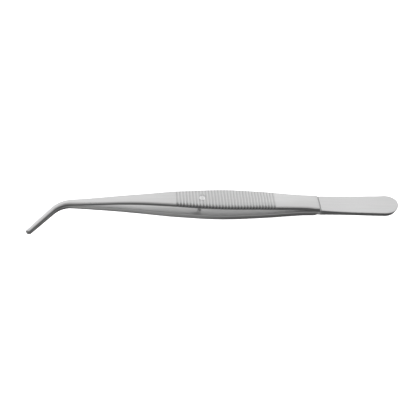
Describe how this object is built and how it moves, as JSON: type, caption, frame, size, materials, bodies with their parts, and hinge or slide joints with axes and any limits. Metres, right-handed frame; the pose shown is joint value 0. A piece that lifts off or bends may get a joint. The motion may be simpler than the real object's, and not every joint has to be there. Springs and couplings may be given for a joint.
{
  "type": "dressing forceps",
  "caption": "Slender thumb forceps with ribbed, bowed arms, a guide pin, a flat rounded butt and bent, grooved jaws that meet at their ends.",
  "frame": {"origin": "under the middle of the whole object, at the height of its lowest point, the crown of the rear arm", "axes": "+X from the jaws to the butt, +Y across the arms, away from the side to which the jaws bend, +Z from the rear arm to the front arm"},
  "size_m": [0.1602, 0.0186, 0.011],
  "materials": {
    "satin_steel": "satin",
    "bright_steel": "polished"
  },
  "bodies": {
    "butt": {"butt": "satin_steel"},
    "front_arm": {"front_arm": "satin_steel"},
    "rear_arm": {"rear_arm": "satin_steel", "guide_pin": "bright_steel"}
  },
  "joints": [
    {"name": "front_arm_flex", "type": "hinge", "parent": "butt", "child": "front_arm", "pos_m": [0.04199, 0.0044, 0.00698], "axis": [0, 1, 0], "range_deg": [0, 2.3], "stiffness_Nm_per_rad": 1.2, "springref_deg": 2.3},
    {"name": "rear_arm_flex", "type": "hinge", "parent": "butt", "child": "rear_arm", "pos_m": [0.04199, 0.0044, 0.00403], "axis": [0, -1, 0], "range_deg": [0, 2.3], "stiffness_Nm_per_rad": 1.2, "springref_deg": 2.3}
  ],
  "couplings": [
    {"joint": "rear_arm_flex", "follows": "front_arm_flex", "ratio": 1}
  ]
}
